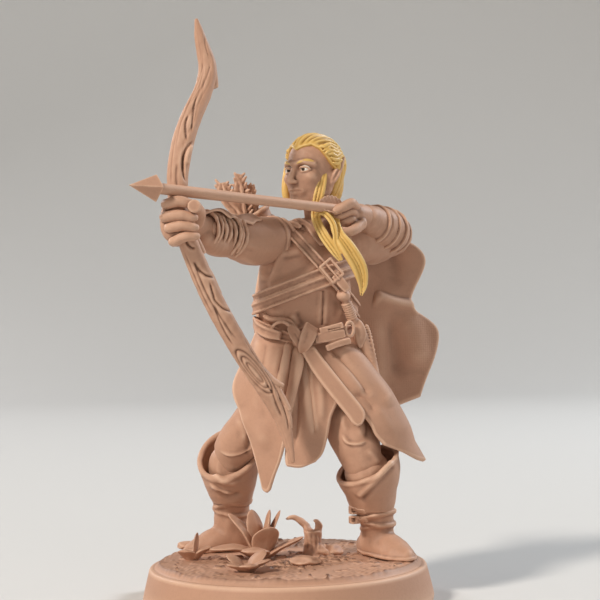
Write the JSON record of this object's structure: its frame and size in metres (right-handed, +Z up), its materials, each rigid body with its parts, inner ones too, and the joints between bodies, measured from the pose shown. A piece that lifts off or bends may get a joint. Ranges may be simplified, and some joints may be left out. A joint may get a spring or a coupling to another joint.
{
  "type": "painted miniature figure",
  "caption": "Tabletop gaming miniature of a fantasy archer drawing a bow on a round base, cast as a kit of glued resin pieces.",
  "frame": {"origin": "centre of the round base's flat underside", "axes": "+Z up from the tabletop; -Y is the way the figure's chest looks; the bow arm reaches towards -X and -Y"},
  "size_m": [0.0268, 0.0269, 0.0485],
  "materials": {
    "resin": "matte, fine grained",
    "hair_paint": "matte paint"
  },
  "bodies": {
    "root": {"arrow": "resin", "baldric": "resin", "baldric_buckle": "resin", "base_disc": "resin", "belt": "resin", "belt_knot": "resin", "bow": "resin", "chest_wrap_lower": "resin", "chest_wrap_upper": "resin", "cloak": "resin", "collar": "resin", "dagger": "resin", "dagger_sheath": "resin", "ground": "resin", "hair": "hair_paint", "hair_lock_front": "hair_paint", "hair_lock_long": "hair_paint", "head": "resin", "hip_strap": "resin", "hips": "resin", "leaf_cluster_front": "resin", "leaf_rosette_left": "resin", "leaf_rosette_main": "resin", "left_boot": "resin", "left_boot_cuff": "resin", "left_boot_straps": "resin", "left_hand": "resin", "left_leg": "resin", "left_sleeve": "resin", "left_vambrace": "resin", "quiver": "resin", "quiver_arrows": "resin", "right_boot": "resin", "right_boot_cuff": "resin", "right_hand": "resin", "right_leg": "resin", "right_sleeve": "resin", "right_sleeve_ruffle": "resin", "root_stump": "resin", "sash_tail": "resin", "skirt_back": "resin", "skirt_centre": "resin", "skirt_left": "resin", "skirt_right": "resin", "slab_left": "resin", "stone_front": "resin", "stone_right": "resin", "torso": "resin"}
  },
  "joints": []
}
